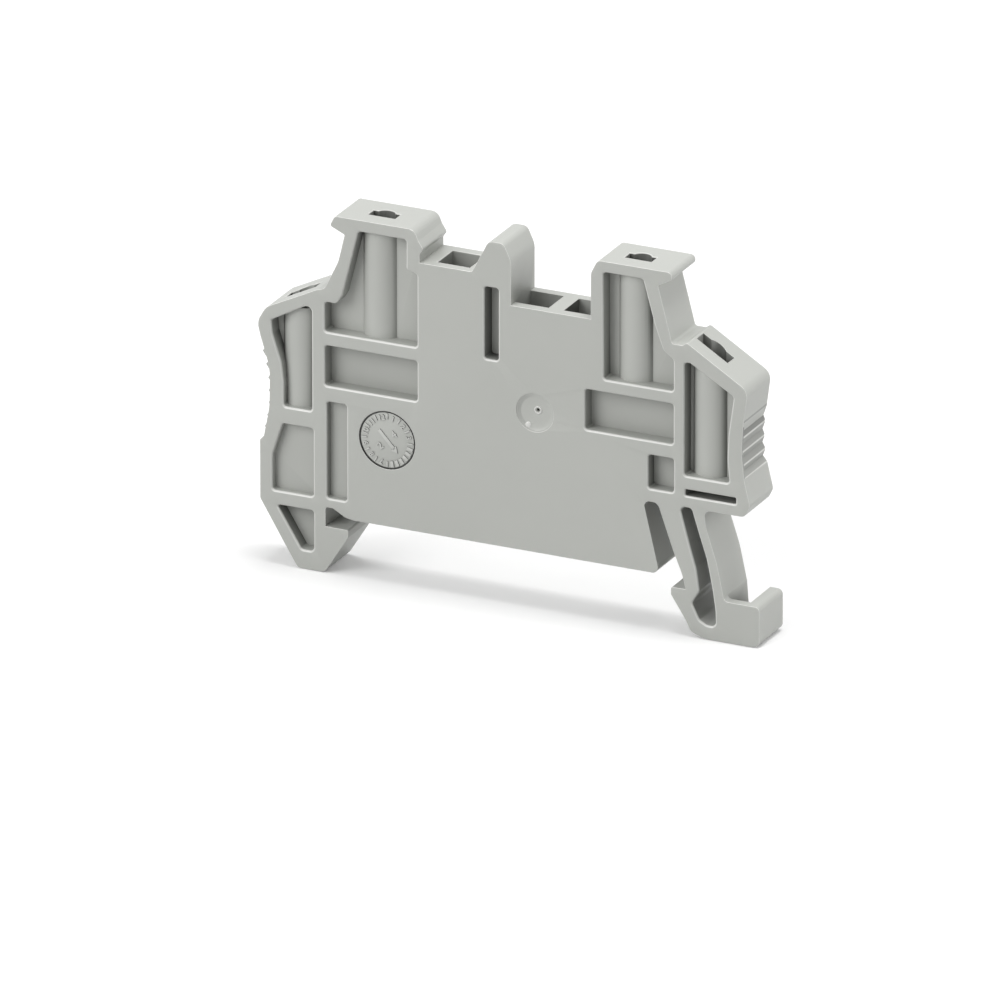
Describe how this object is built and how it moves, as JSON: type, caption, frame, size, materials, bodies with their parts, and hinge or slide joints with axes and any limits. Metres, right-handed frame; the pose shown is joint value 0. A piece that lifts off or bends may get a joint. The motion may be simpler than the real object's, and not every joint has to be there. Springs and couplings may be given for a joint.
{
  "type": "din rail end stop",
  "caption": "Clip-on end stop for 35 mm top hat rail: a flat moulded plate with a fixed hook, a spring latch leg, marker posts and parking shafts.",
  "frame": {"origin": "middle of the rail top under the seat, halfway through the thickness", "axes": "+X across the rail towards the spring leg, +Y along the rail away from the front face, +Z away from the rail towards the marker posts"},
  "size_m": [0.0506, 0.0052, 0.0353],
  "materials": {
    "housing": "light grey moulded polyamide, fine matt grain"
  },
  "bodies": {
    "root": {"end_stop": "housing"}
  },
  "joints": []
}
